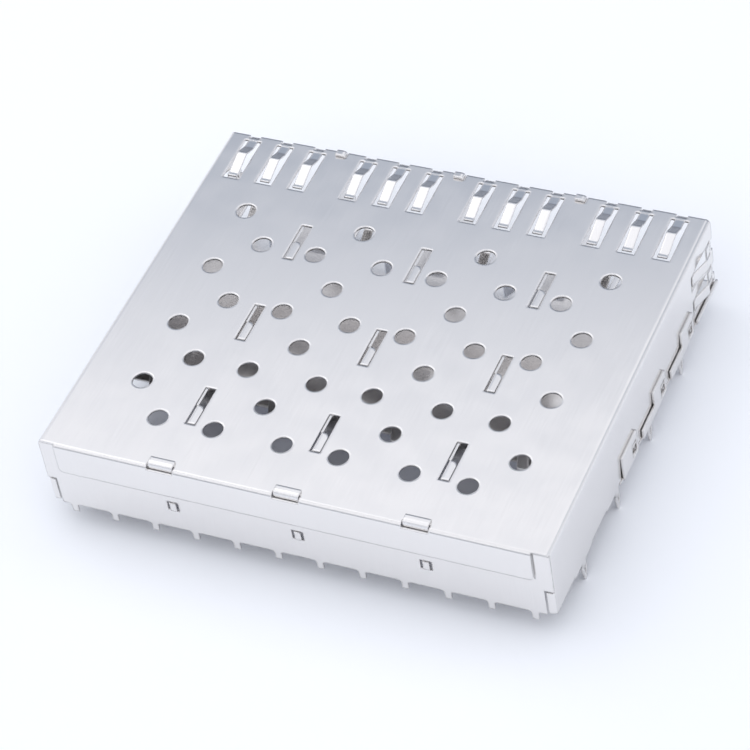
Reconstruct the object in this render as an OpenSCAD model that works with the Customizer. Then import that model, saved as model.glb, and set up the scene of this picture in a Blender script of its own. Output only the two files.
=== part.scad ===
// Four-port ganged SFP cage, folded from thin plated sheet metal, press-fit onto a circuit board.
// Z = 0 is the face that lies on the board, -Y is the port side and +Y the rear wall.

/* [Cage] */
// Distance from one module bay to the next
pitch = 14.25; // [14:0.05:15]
// Length from the port edge to the rear wall
cage_length = 49.7; // [48:0.1:52]
// Height of the top face above the board
cage_height = 9.5; // [9.3:0.05:9.8]
// Thickness of the sheet
sheet = 0.25; // [0.2:0.05:0.3]
// Outer radius of the folded edges
fold_r = 0.5; // [0.4:0.05:0.7]

/* [Vent holes] */
// Diameter of the vent holes
vent_d = 2.2; // [1.6:0.1:2.6]
// Distance from one row of vents to the next
vent_pitch = 4.47; // [4.3:0.01:4.5]
// Distance from the port edge to the first row of vents
vent_start = 11.65; // [11:0.05:12]

/* [EMI fingers] */
// Width of the windows round the fingers
window_w = 2; // [1.8:0.1:2.4]
// Width of a finger
finger_w = 1.1; // [0.8:0.05:1.3]
// Height of a finger's crest above the sheet
finger_crest = 0.7; // [0.5:0.05:0.9]
// Distance between the fingers on top of one bay
finger_pitch = 4; // [3.5:0.1:4.2]

/* [Press-fit pins] */
// Length of the press-fit pins below the board face
pin_length = 2.75; // [2.5:0.05:3]
// Distance from one press-fit pin to the next
pin_pitch = 10; // [9.5:0.1:10]
// Distance from the port edge to the first press-fit pin
pin_start = 11.5; // [11:0.1:12]
// Length of the short ground pins under the rear wall
ground_pin_length = 1.15; // [0.8:0.05:2]

/* [Floor] */
// Length of the floor from the port edge; the connectors stand behind it
floor_length = 30.8; // [30.5:0.05:31.2]
// Height of the side tabs that clasp the walls
tab_height = 3.35; // [2.8:0.05:3.8]
// Height of the low edge between the side tabs
edge_height = 1.4; // [0.8:0.05:1.6]

/* [Hidden] */
$fn = 24;
ports = 4;
eps = 0.02;
width = ports * pitch;
front = -cage_length / 2;
rear = cage_length / 2;
roof = cage_height - sheet;
plate_gap = 0.06;
plate_y = rear - sheet - plate_gap;
wall_x = width / 2;
fold_steps = 2;

// Vents: single ones on each bay's centre line, and pairs either side of each divider
vent_rows = 8;
vent_offset = 3.18;

// Windows and fingers near the port edge
window_front = front + 0.8;
window_l = 6.35;
side_window_l = 6;
side_window_h = 2.15;
side_finger_w = 1.35;
side_finger_z = [2.6, 6.15];
floor_finger_x = 4.8;

// Slots in the roof for the dividers' folded tabs
slot_start = 14.8;
slot_pitch = 12.72;
slot_count = 3;
slot_l = 5.4;
slot_w = 1.25;
slot_side = 0.13;
slot_tab_l = 2.6;

// Rear wall
flap_x = wall_x - 1.9;
flap_h = 4.05;
flap_r = 0.5;
ear_slit = 0.1;
ear_z = 3.85;
tongue_w = 2.8;
tongue_reach = 1.05;
ground_pin_pitch = 4.75;
ground_pin_w = 0.7;
rear_window = [1.32, 1.32];
rear_window_z = 2.95;

// Side tabs of the floor: where each one starts and ends, measured from the port edge
tabs = [[8, 11.5], [16.9, 20.4], [25.8, 30.1]];
side_gap = 0.12;
front_edge_height = 0.7;
edge_run = 3.7;
catch_y = 0.95;
catch_w = 1.3;
catch_z = [0.8, 2.2];

// Floor details
latch_slit_x = 2.9;
latch_l = 10.5;
latch_hole_y = 5.4;
slit_w = 0.45;
kick_x = 2.6;
kick_w = 1.3;

// Press-fit pins
pin_count = 4;
pin_neck_w = 0.8;
pin_bulge_w = 1.15;
pin_bulge_l = 1.75;
pin_bulge_z = -1.2;
pin_tip_w = 0.45;
eye_w = 0.32;
eye_l = 1.15;

function bay_x(i) = (i - (ports - 1) / 2) * pitch;
function divider_x(i) = (i - ports / 2) * pitch;
function pin_y(i) = front + pin_start + i * pin_pitch;
function slot_y(i) = front + slot_start + i * slot_pitch;
function unit(v) = v / norm(v);
function left(v) = [-v[1], v[0]];
function turned(v, h) = [v[0] * cos(h) - v[1] * sin(h), v[0] * sin(h) + v[1] * cos(h)];

// One rounded corner of a path, as pairs of a point and its normal
function fold(a, b, c, r) =
  let (
    u = unit(b - a),
    w = unit(c - b),
    side = sign(u[0] * w[1] - u[1] * w[0]),
    angle = acos(min(1, u * w)),
    start = b - u * r * tan(angle / 2),
    middle = start + left(u) * r * side
  )
  [
    for (k = [0 : fold_steps])
      let (normal = turned(left(u), side * angle * k / fold_steps))
      [middle - normal * r * side, normal]
  ];

function rail(path, r) =
  let (last = len(path) - 1)
  concat(
    [[path[0], left(unit(path[1] - path[0]))]],
    [for (i = [1 : last - 1]) each fold(path[i - 1], path[i], path[i + 1], r)],
    [[path[last], left(unit(path[last] - path[last - 1]))]]
  );

// The edge-on outline of a strip of sheet bent along a path
module bent_strip(path, r, t = sheet) {
  rails = rail(path, r);
  last = len(rails) - 1;
  polygon(concat(
    [for (q = rails) q[0] + q[1] * t / 2],
    [for (i = [last : -1 : 0]) rails[i][0] - rails[i][1] * t / 2]
  ));
}

// A profile in the YZ plane, given thickness along X
module along_x(w) {
  rotate([90, 0, 90]) linear_extrude(w, center = true) children();
}

// A profile in the XZ plane, carried along Y from y0 to y1
module along_y(y0, y1) {
  translate([0, y1, 0]) rotate([90, 0, 0]) linear_extrude(y1 - y0) children();
}

module both_sides() {
  children();
  mirror([1, 0, 0]) children();
}

module at_bays() {
  for (i = [0 : ports - 1]) translate([bay_x(i), 0, 0]) children();
}

module at_dividers() {
  for (i = [1 : ports - 1]) translate([divider_x(i), 0, 0]) children();
}

// A rectangle from the origin to [w, h] whose far corner is rounded
module one_round(w, h, r) {
  square([w - r, h]);
  square([w, h - r]);
  translate([w - r, h - r]) circle(r);
}

// The outline of a sheet folded once, with its outer corner at [w, h]
module folded_corner(w, h, r) {
  difference() {
    one_round(w, h, r);
    translate([-1, -1]) one_round(w + 1 - sheet, h + 1 - sheet, r - sheet);
  }
}

// A straight slot with round ends, standing up from the origin
module round_slot(w, l) {
  translate([-w / 2, w / 2]) square([w, l - w]);
  for (y = [w / 2, l - w / 2]) translate([0, y]) circle(d = w, $fn = 8);
}

// The outline of a press-fit pin with its needle eye, hanging from the origin
module press_pin_outline() {
  bulge_r = (pow(pin_bulge_l / 2, 2) + pow(pin_bulge_w / 2, 2)) / pin_bulge_w;
  difference() {
    union() {
      translate([-pin_neck_w / 2, -0.9]) square([pin_neck_w, 1.4]);
      intersection() {
        translate([bulge_r - pin_bulge_w / 2, pin_bulge_z]) circle(bulge_r);
        translate([pin_bulge_w / 2 - bulge_r, pin_bulge_z]) circle(bulge_r);
      }
      polygon([
        [-pin_neck_w / 2, pin_bulge_z - 0.55], [pin_neck_w / 2, pin_bulge_z - 0.55],
        [pin_tip_w / 2, -pin_length + 0.1], [pin_tip_w / 4, -pin_length],
        [-pin_tip_w / 4, -pin_length], [-pin_tip_w / 2, -pin_length + 0.1]
      ]);
    }
    translate([0, pin_bulge_z - eye_l / 2]) round_slot(eye_w, eye_l);
  }
}

// The edge-on outline of a spring finger: its lip dips at the port edge, it rises to its crest and falls to its tip
module finger_outline(l) {
  t = sheet * 0.8;
  crest = finger_crest + (sheet - t) / 2;
  bent_strip([
    [-0.8, -0.2], [-0.1, 0], [0.2 * l, 0.1], [0.44 * l, crest], [l - 0.95, 0], [l - 0.45, 0.03]
  ], 0.5, t);
}

// Finger with its crest upwards, its root line at the origin and its tip towards +Y
module finger(w, l) {
  along_x(w) finger_outline(l);
}

// The port edge is cut back where a finger's own lip turns down
module finger_window(w, l, finger_width) {
  translate([-w / 2, 0, -1]) cube([w, l, 2]);
  translate([-finger_width / 2 - 0.1, -1.8, -1]) cube([finger_width + 0.2, 1.45, 2]);
}

module top_windows(place_fingers) {
  mid_z = cage_height - sheet / 2;
  at_bays() for (k = [-1 : 1]) translate([k * finger_pitch, window_front, mid_z])
    if (place_fingers) finger(finger_w, window_l);
    else finger_window(window_w, window_l, finger_w);
}

module side_windows(place_fingers) {
  both_sides() for (z = side_finger_z) translate([wall_x - sheet / 2, window_front, z]) rotate([0, 90, 0])
    if (place_fingers) finger(side_finger_w, side_window_l);
    else finger_window(side_window_h, side_window_l, side_finger_w);
}

module vents() {
  for (row = [0 : vent_rows - 1]) translate([0, front + vent_start + row * vent_pitch, roof - 1]) {
    if (row % 2 == 0) at_bays() cylinder(d = vent_d, h = 2);
    else at_dividers() for (s = [-1, 1]) translate([s * vent_offset, 0, 0]) cylinder(d = vent_d, h = 2);
  }
}

// Roof and walls in section, down to the walls' lower edge
module roof_section(base) {
  for (s = [0, 1]) mirror([s, 0]) translate([0, base]) folded_corner(wall_x, cage_height - base, fold_r);
}

// The roof's rear end, folded down outside the rear plate, with rounded lower corners
module rear_flap() {
  start = rear - 1.2;
  intersection() {
    translate([0, start, cage_height - flap_h]) along_x(2 * flap_x)
      folded_corner(rear - start, flap_h, fold_r);
    for (s = [0, 1]) mirror([s, 0, 0]) along_y(start - 1, rear + 1)
      translate([0, cage_height + 1]) mirror([0, 1]) one_round(flap_x, flap_h + 1, flap_r);
  }
}

// Wall feet: wide pads behind the floor, and the press-fit pins
module wall_feet() {
  pads = [[-0.4, 3.5], [-2.4, 5]];
  both_sides() translate([wall_x - sheet / 2, 0, 0]) {
    for (i = [0 : 1]) translate([0, pin_y(i + 2), 0]) along_x(sheet)
      translate([pads[i][0], 0]) square([pads[i][1], 0.5]);
    for (i = [0 : pin_count - 1]) translate([0, pin_y(i), 0]) along_x(sheet) press_pin_outline();
  }
}

// A catch sprung out of the wall, which holds a side tab by its window
module wall_catches(cut) {
  both_sides() for (tab = tabs) translate([wall_x - sheet / 2, front + tab[0] + catch_y, 0])
    if (cut) translate([-1, -catch_w / 2, catch_z[0]]) cube([2, catch_w, catch_z[1] - catch_z[0] + 0.1]);
    else along_y(-catch_w / 2 + 0.12, catch_w / 2 - 0.12)
      bent_strip([[0, 0.3], [0, catch_z[0] + 0.2], [0.34, catch_z[1] - 0.12]], 0.2, sheet * 0.9);
}

module top_cover() {
  floor_top = sheet;
  wall_gap = 0.04;
  corner_l = 0.85;
  corner_z = [0.55, 3.6];
  color([0.8, 0.81, 0.84]) {
    difference() {
      union() {
        along_y(front, plate_y - sheet - wall_gap) roof_section(floor_top);
        // the roof runs on over the top of the rear plate
        along_y(plate_y - 1, plate_y) intersection() {
          roof_section(floor_top);
          translate([-wall_x, roof]) square([width, sheet]);
        }
        rear_flap();
        // lower rear corners turned inwards beside the rear plate
        both_sides() translate([wall_x - corner_l, plate_y - 0.6, corner_z[0]])
          linear_extrude(corner_z[1] - corner_z[0]) folded_corner(corner_l, 0.6, 0.4);
      }
      vents();
      top_windows(false);
      side_windows(false);
      wall_catches(true);
      // slots for the dividers' folded tabs
      at_dividers() for (i = [0 : slot_count - 1])
        translate([slot_side - slot_w, slot_y(i) - slot_l / 2, roof - 1]) cube([slot_w, slot_l, 2]);
      // notches for the rear plate's tongues
      at_dividers() translate([-tongue_w / 2 - 0.1, plate_y - sheet - 0.25, cage_height - fold_r])
        cube([tongue_w + 0.2, 2, 2]);
      // notch in the port edge for each divider's front ear
      at_dividers() translate([-sheet - 0.1, front - 1, roof - 1]) cube([sheet + 0.2, 1.9, 3]);
      // the walls' lower edge is lifted off the board behind the floor
      both_sides() translate([wall_x - 1, front + floor_length - 0.1, 0])
        cube([2, cage_length - floor_length + 2, 0.35]);
    }
    top_windows(true);
    side_windows(true);
    wall_catches(false);
    wall_feet();
  }
}

// Floor in section, with its upturned edges leaning in until they meet the walls
module floor_section() {
  path = [
    [0, sheet / 2], [wall_x + side_gap + sheet / 2, sheet / 2], [wall_x + sheet / 2 + eps, tab_height]
  ];
  for (s = [0, 1]) mirror([s, 0]) bent_strip(path, side_gap + sheet / 2 - 2 * eps);
}

// What is cut from the floor's upturned edges to leave the tabs and low edges
module edge_cuts() {
  cut = 1.4;
  x0 = wall_x - sheet;
  both_sides() translate([x0, front, 0]) {
    translate([0, -1, front_edge_height]) cube([2, tabs[0][0] + 1, 9]);
    translate([sheet + side_gap / 2, tabs[0][0] - cut, -1]) cube([2, cut, 9]);
    for (i = [0 : 2]) {
      run = i < 2 ? edge_run : 0;
      tab_end = tabs[i][1];
      next = i < 2 ? tabs[i + 1][0] : floor_length + 1;
      translate([0, tab_end, edge_height]) cube([2, next - tab_end, 9]);
      translate([sheet + side_gap / 2, tab_end + run, -1]) cube([2, next - tab_end - run, 9]);
      translate([0, tabs[i][0] + catch_y - catch_w / 2, catch_z[0] - 0.05])
        cube([2, catch_w, catch_z[1] - catch_z[0] + 0.25]);
    }
  }
}

// Tongue with the triangular hole that catches the module's latch post
module latch_cuts() {
  for (s = [-1, 1]) translate([s * latch_slit_x - slit_w / 2, front - 1, -1]) cube([slit_w, latch_l + 1, 2]);
  translate([0, front + latch_hole_y, -1]) linear_extrude(2) polygon([[-1.45, 0], [1.45, 0], [0, 2.9]]);
}

module floor_windows(place_fingers) {
  at_bays() for (s = [-1, 1]) translate([s * floor_finger_x, window_front, sheet / 2]) mirror([0, 0, 1])
    if (place_fingers) finger(finger_w, window_l);
    else finger_window(window_w, window_l, finger_w);
}

// Slots that the press-fit pins of the walls and dividers come down through
module pin_slots() {
  for (i = [0 : 1]) translate([0, pin_y(i), -1]) {
    both_sides() translate([wall_x - sheet - 0.08, -0.65, 0]) cube([sheet + 0.16, 1.3, 2]);
    at_dividers() translate([-sheet - 0.08, -0.65, 0]) cube([sheet + 0.16, 1.3, 2]);
  }
}

// Springs at the floor's rear edge that push a released module out
module kick_springs() {
  at_bays() for (s = [-1, 1]) translate([s * kick_x, front + floor_length, sheet / 2])
    along_x(kick_w) bent_strip([[-1, 0], [1.6, 0], [2.5, 1.6], [1.1, 4], [1.5, 4.6]], 0.7);
}

module bottom_cover() {
  color([0.78, 0.79, 0.82]) {
    difference() {
      along_y(front, front + floor_length) floor_section();
      edge_cuts();
      at_bays() latch_cuts();
      floor_windows(false);
      pin_slots();
    }
    floor_windows(true);
    kick_springs();
  }
}

// Short ground pin with a flared root, hanging from the origin
module ground_pin() {
  flare = 0.4;
  difference() {
    translate([-ground_pin_w / 2 - flare, -flare]) square([ground_pin_w + 2 * flare, flare + 0.2]);
    for (s = [-1, 1]) translate([s * (ground_pin_w / 2 + flare), -flare]) circle(flare, $fn = 16);
  }
  translate([-ground_pin_w / 2, -ground_pin_length]) square([ground_pin_w, ground_pin_length + 0.1]);
}

module back_plate() {
  low_edge = 0.2;
  side_gap_x = 1.05;
  fold_z = cage_height - fold_r - eps;
  tongue_path = [
    [plate_y - sheet / 2, roof - 1], [plate_y - sheet / 2, cage_height + sheet / 2],
    [plate_y - tongue_reach, cage_height + sheet / 2]
  ];
  color([0.8, 0.79, 0.83]) difference() {
    union() {
      along_y(plate_y - sheet, plate_y) {
        translate([-(wall_x - side_gap_x), low_edge])
          square([2 * (wall_x - side_gap_x), fold_z - low_edge]);
        for (i = [0 : 3 * ports - 1])
          translate([(i - (3 * ports - 1) / 2) * ground_pin_pitch, low_edge]) ground_pin();
      }
      // ears that cover the ends of the walls, up to the underside of the roof
      for (s = [0, 1]) mirror([s, 0, 0]) along_y(plate_y - sheet, plate_y) {
        translate([0, ear_z]) square([wall_x - eps, 2]);
        translate([flap_x, ear_z]) one_round(wall_x - eps - flap_x, roof - eps - ear_z, fold_r - sheet);
      }
      at_dividers() along_x(tongue_w) bent_strip(tongue_path, 0.3);
    }
    // slits beside the flap, which leave the ears free to bend
    both_sides() translate([flap_x, plate_y - 1, cage_height - flap_h]) cube([ear_slit, 2, flap_h + 1]);
    // windows for the dividers' rear tabs
    at_dividers() translate([0.2 - rear_window[0], plate_y - 1, rear_window_z])
      cube([rear_window[0], 2, rear_window[1]]);
  }
}

// Folded tab that lies flush in a roof slot, with its leading corner rounded
module slot_tab() {
  reach = slot_w - slot_side - 0.12;
  intersection() {
    along_y(0, slot_tab_l) translate([-reach, cage_height - 1]) folded_corner(reach, 1, 0.3);
    translate([0, slot_tab_l, 0]) rotate([0, 0, 180]) linear_extrude(20) one_round(reach, slot_tab_l, 0.55);
  }
}

module divider_web() {
  web_rear = plate_y - sheet - eps;
  foot = front + floor_length;
  slot_edge = slot_l - 0.3;
  foot_pad = [0.4, 2.2];
  difference() {
    union() {
      translate([front + 0.9, sheet]) square([web_rear - front - 0.9, roof - sheet]);
      translate([front + 0.05, sheet + 1.2]) square([1, roof - sheet - 1.2]);
      for (i = [0 : slot_count - 1]) translate([slot_y(i) - slot_edge / 2, roof - 1])
        square([slot_edge, 1 + sheet - 0.3]);
      for (i = [0 : slot_count - 1]) translate([slot_y(i) - slot_edge / 2, roof - 1])
        square([slot_edge - slot_tab_l, 1 + sheet]);
      for (i = [0 : pin_count - 1]) translate([pin_y(i), 0]) press_pin_outline();
      for (i = [2 : pin_count - 1]) translate([pin_y(i) - foot_pad[0], 0]) square([foot_pad[1], 1]);
    }
    translate([foot, -1]) difference() {
      square([web_rear - foot + 1, 1.3]);
      for (i = [2 : pin_count - 1]) translate([pin_y(i) - foot - foot_pad[0], -1]) square([foot_pad[1], 3]);
    }
  }
}

// Front ear: rises through the port edge and folds over the roof
module front_ear() {
  ear_l = 0.85;
  top = cage_height + sheet / 2 + 0.06;
  along_y(front + 0.05, front + ear_l)
    bent_strip([[-sheet / 2, roof - 0.5], [-sheet / 2, top], [0.95, top]], 0.25);
}

// Rear tab: passes through the rear plate's window and folds flat behind it
module rear_tab() {
  h = rear_window[1] - 0.17;
  reach = 0.85;
  y0 = plate_y - sheet - 0.5;
  translate([-reach, y0, rear_window_z + 0.05]) linear_extrude(h)
    folded_corner(reach, plate_y + 0.1 - y0, 0.3);
}

module divider() {
  color([0.8, 0.81, 0.84]) {
    translate([-sheet / 2, 0, 0]) along_x(sheet) divider_web();
    for (i = [0 : slot_count - 1]) translate([0, slot_y(i) + slot_l / 2 - 0.15 - slot_tab_l, 0]) slot_tab();
    front_ear();
    rear_tab();
  }
}

module divider_left() {
  translate([divider_x(1), 0, 0]) divider();
}

module divider_middle() {
  translate([divider_x(2), 0, 0]) divider();
}

module divider_right() {
  translate([divider_x(3), 0, 0]) divider();
}

top_cover();
bottom_cover();
back_plate();
divider_left();
divider_middle();
divider_right();
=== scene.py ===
"""Looks of the four-port SFP cage: bright plated sheet on a white table in a soft studio."""

import math

import bpy
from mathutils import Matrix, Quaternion, Vector


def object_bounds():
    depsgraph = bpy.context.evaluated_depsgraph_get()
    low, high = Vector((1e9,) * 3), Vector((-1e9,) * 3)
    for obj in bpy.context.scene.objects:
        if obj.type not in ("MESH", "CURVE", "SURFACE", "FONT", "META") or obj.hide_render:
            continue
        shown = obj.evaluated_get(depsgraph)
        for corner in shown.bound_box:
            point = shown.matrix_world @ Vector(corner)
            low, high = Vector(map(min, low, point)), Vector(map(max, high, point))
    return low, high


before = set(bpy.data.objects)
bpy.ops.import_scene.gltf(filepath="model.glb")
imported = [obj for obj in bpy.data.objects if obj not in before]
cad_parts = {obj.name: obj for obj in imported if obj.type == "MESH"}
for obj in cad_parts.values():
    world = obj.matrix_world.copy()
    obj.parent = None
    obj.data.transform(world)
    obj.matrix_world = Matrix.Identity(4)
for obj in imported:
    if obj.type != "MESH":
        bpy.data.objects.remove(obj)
cad_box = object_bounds()
scene = bpy.context.scene
scene.view_settings.view_transform = "Standard"

# Lengths and places are in metres, and noise scales are in cells to a metre.
MM = 0.001

# Plating: its tone, the darker lines of its grain, and the roughness between which its clouds vary
PLATE = (0.854, 0.836, 0.824, 1.0)
LINE_SHARE = 0.94
PLATE_LINES = tuple(LINE_SHARE * channel for channel in PLATE[:3]) + (1.0,)
ROUGHNESS = (0.14, 0.19)
CLOUD_SCALE = 220.0
CLOUD_EDGE = (0.3, 0.7)
# Rolling grain: fine across its lines and drawn out along them
GRAIN_ACROSS = 7000.0
GRAIN_ALONG = 250.0
GRAIN_DEPTH = 0.02 * MM
GRAIN_STRENGTH = 0.06
NOISE_DETAIL = 3.0
# The grain turns downwards as the Y part of a face's normal grows from the first to the second
UPRIGHT_EDGE = (0.6, 0.8)
# Soft rounding of the edges of the sheet
ROUNDING_RADIUS = 0.3 * MM
ROUNDING_SAMPLES = 6

# Table: white round the part, with painted shade that darkens its colour farther away to blend into
# the dim studio
TABLE_SIZE = 6.0
TABLE_WHITE = (0.93, 0.945, 0.96, 1.0)
# painted shade: the table's colour far from the part, darkened to the dim studio's tone
TABLE_FAR_PAINTED_SHADE = (0.36, 0.40, 0.47, 1.0)
# distances from the middle between which the white goes over into the painted shade, and the lift
# fades
TABLE_FADE = (0.13, 0.4)
# strength and tint of the light that the table adds where it is seen
TABLE_LIFT = 0.06
LIFT_TINT = (0.7, 0.75, 1.0, 1.0)

# Studio: a bright dome that leans towards the rear, with a grey band at its foot, a dim horizon and
# a bright card at either side. Each stop is the cosine of the angle to the dome's axis, and a colour.
DIM = (0.24, 0.265, 0.32, 1.0)
GREY = (0.40, 0.455, 0.56, 1.0)
BRIGHT = (1.08, 1.10, 1.165, 1.0)
DOME_AXIS = (-0.032, 0.514, 0.857)
DOME_STOPS = ((-0.2, DIM), (0.05, GREY), (0.215, GREY), (0.295, BRIGHT))
# the upward part of a direction at which the horizon gives way to the dome
HORIZON_EDGE = (0.1, 0.5)
# the sideways part at which a card sets in, and how much of the sky it covers at most
CARD_EDGE = (0.4, 0.8)
CARD_SHARE = 0.85

# Key lamp: a square that faces the origin
KEY_PLACE = (0.25, -0.07, 0.33)
KEY_SIZE = 0.25
KEY_RADIANCE = 0.5

# Camera, fitted to the photograph: lens and sensor in millimetres, roll in degrees
CAMERA_LENS = 157.5
CAMERA_SENSOR = 36.0
CAMERA_CLIP_START = 0.01
CAMERA_PLACE = (-0.12338, 0.21446, 0.25162)
CAMERA_AIM = (0.00245, -0.00187, 0.0)
CAMERA_ROLL = -10.51


def set_up(tree, made, **values):
    """Each value feeds the input of its name, with _ for a space, or else sets an attribute."""
    for name, value in values.items():
        socket = made.inputs.get(name.replace("_", " "))
        if socket is None:
            setattr(made, name, value)
        elif isinstance(value, bpy.types.NodeSocket):
            tree.links.new(value, socket)
        else:
            socket.default_value = value
    return made


def node(tree, kind, **values):
    """Adds a shader node and sets it up."""
    return set_up(tree, tree.nodes.new("ShaderNode" + kind), **values)


def mix(tree, kind, factor, start, end):
    """Blends start into end as the factor rises; kind is FLOAT or RGBA."""
    # the kind comes first, because it decides which inputs answer to A and B
    return node(tree, "Mix", data_type=kind, Factor=factor, A=start, B=end).outputs["Result"]


def remap(tree, value, source, target=(0.0, 1.0), curve="SMOOTHSTEP"):
    """Maps the source range onto the target range."""
    ramp = node(tree, "MapRange", interpolation_type=curve, Value=value)
    set_up(tree, ramp, From_Min=source[0], From_Max=source[1], To_Min=target[0], To_Max=target[1])
    return ramp.outputs["Result"]


def calculate(tree, operation, *values):
    """Works out one operation on outputs and numbers."""
    result = node(tree, "Math", operation=operation)
    for socket, value in zip(result.inputs, values):
        if isinstance(value, float):
            socket.default_value = value
        else:
            tree.links.new(value, socket)
    return result.outputs["Value"]


def new_material(name):
    """Makes a material, and returns it with its node tree and its shader."""
    material = bpy.data.materials.new(name)
    material.use_nodes = True
    return material, material.node_tree, material.node_tree.nodes["Principled BSDF"]


def lines(tree, position, scale):
    """Grain whose lines run along the axis with the low scale."""
    stretch = node(tree, "Mapping", Vector=position, Scale=scale)
    drawn_out = stretch.outputs["Vector"]
    return node(tree, "TexNoise", Vector=drawn_out, Scale=1.0, Detail=NOISE_DETAIL).outputs["Fac"]


def rolled_grain(tree, position):
    """Grain from the ports to the rear, which turns downwards where the roof folds over the rear."""
    level = lines(tree, position, (GRAIN_ACROSS, GRAIN_ALONG, GRAIN_ACROSS))
    upright = lines(tree, position, (GRAIN_ACROSS, GRAIN_ACROSS, GRAIN_ALONG))
    face = node(tree, "NewGeometry").outputs["True Normal"]
    turned = calculate(tree, "ABSOLUTE", node(tree, "SeparateXYZ", Vector=face).outputs["Y"])
    return mix(tree, "FLOAT", remap(tree, turned, UPRIGHT_EDGE), level, upright)


def plated_sheet():
    """Bright plating on rolled sheet: fine grain, faint clouds, and softly rounded edges."""
    material, tree, shader = new_material("plating")
    position = node(tree, "TexCoord").outputs["Object"]
    grain = rolled_grain(tree, position)
    clouds = node(tree, "TexNoise", Vector=position, Scale=CLOUD_SCALE, Detail=NOISE_DETAIL)
    edges = node(tree, "Bevel", samples=ROUNDING_SAMPLES, Radius=ROUNDING_RADIUS)
    bump = node(tree, "Bump", Strength=GRAIN_STRENGTH, Distance=GRAIN_DEPTH, Height=grain)
    set_up(tree, bump, Normal=edges.outputs["Normal"])
    set_up(
        tree,
        shader,
        Metallic=1.0,
        Base_Color=mix(tree, "RGBA", grain, PLATE, PLATE_LINES),
        Roughness=remap(tree, clouds.outputs["Fac"], CLOUD_EDGE, ROUGHNESS),
        Normal=bump.outputs["Normal"],
    )
    return material


def white_table_painted_dark_far():
    """Matt white, with painted shade that darkens it with the distance, and a bluish lift where it is
    seen.
    """
    material, tree, shader = new_material("white_table_painted_dark_far")
    position = node(tree, "TexCoord").outputs["Object"]
    distance = node(tree, "VectorMath", operation="LENGTH", Vector=position).outputs["Value"]
    near = remap(tree, distance, TABLE_FADE, (1.0, 0.0))
    # the camera, the metal and glass see the lift, and it lights nothing else
    rays = node(tree, "LightPath").outputs
    seen = rays["Is Camera Ray"]
    for kind in ("Is Glossy Ray", "Is Transmission Ray"):
        seen = calculate(tree, "MAXIMUM", seen, rays[kind])
    lift = calculate(tree, "MULTIPLY", calculate(tree, "MULTIPLY", seen, near), TABLE_LIFT)
    set_up(
        tree,
        shader,
        # painted shade: the colour turns from white near the part to the dark far tone with the
        # distance
        Base_Color=mix(tree, "RGBA", near, TABLE_FAR_PAINTED_SHADE, TABLE_WHITE),
        Roughness=1.0,
        Specular_IOR_Level=0.0,
        Emission_Color=LIFT_TINT,
        Emission_Strength=lift,
    )
    return material


def add_table(height):
    """Table top at the height of the lowest pin tips."""
    bpy.ops.mesh.primitive_plane_add(size=TABLE_SIZE, location=(0, 0, height))
    table = bpy.context.object
    table.name = "table"
    table.data.materials.append(white_table_painted_dark_far())


def dome_colour(tree, direction):
    """Colour of the dome in a direction."""
    leaning = node(tree, "VectorMath", operation="DOT_PRODUCT", Vector=direction)
    leaning.inputs[1].default_value = DOME_AXIS
    # the ramp runs from 0 to 1, and the cosine from -1 to 1
    along_ramp = remap(tree, leaning.outputs["Value"], (-1.0, 1.0), curve="LINEAR")
    dome = node(tree, "ValToRGB", Fac=along_ramp)
    dome.color_ramp.interpolation = "EASE"
    stops = dome.color_ramp.elements
    while len(stops) < len(DOME_STOPS):
        stops.new(1.0)
    for stop, (cosine, colour) in zip(stops, DOME_STOPS):
        stop.position = (cosine + 1.0) / 2.0
        stop.color = colour
    return dome.outputs["Color"]


def add_studio():
    """World that lights the part: dome, horizon and side cards."""
    world = bpy.data.worlds.new("studio")
    scene.world = world
    world.use_nodes = True
    tree = world.node_tree
    direction = node(tree, "TexCoord").outputs["Generated"]
    split = node(tree, "SeparateXYZ", Vector=direction).outputs
    above = remap(tree, split["Z"], HORIZON_EDGE)
    sky = mix(tree, "RGBA", above, DIM, dome_colour(tree, direction))
    card = remap(tree, calculate(tree, "ABSOLUTE", split["X"]), CARD_EDGE, (0.0, CARD_SHARE))
    set_up(tree, tree.nodes["Background"], Color=mix(tree, "RGBA", card, sky, BRIGHT))


def place_facing(name, data, place, target, roll=0.0):
    """Adds a lamp or camera that faces the target, rolled by some degrees."""
    turn = (Vector(target) - Vector(place)).to_track_quat("-Z", "Y")
    made = bpy.data.objects.new(name, data)
    made.location = place
    made.rotation_euler = (turn @ Quaternion((0.0, 0.0, 1.0), math.radians(roll))).to_euler()
    scene.collection.objects.link(made)
    return made


def add_key_lamp():
    """Square lamp, with the power that gives it the radiance above."""
    key = bpy.data.lights.new("key", "AREA")
    key.shape = "SQUARE"
    key.size = KEY_SIZE
    key.energy = KEY_RADIANCE * math.pi * KEY_SIZE * KEY_SIZE
    place_facing("key", key, KEY_PLACE, (0.0, 0.0, 0.0))


def add_camera():
    """Camera at the photograph's viewing angle."""
    camera = bpy.data.cameras.new("camera")
    camera.lens = CAMERA_LENS
    camera.sensor_width = CAMERA_SENSOR
    camera.clip_start = CAMERA_CLIP_START
    scene.camera = place_facing("camera", camera, CAMERA_PLACE, CAMERA_AIM, CAMERA_ROLL)


plating = plated_sheet()
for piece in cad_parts.values():
    piece.data.materials.clear()
    piece.data.materials.append(plating)
add_table(cad_box[0][2])
add_studio()
add_key_lamp()
add_camera()
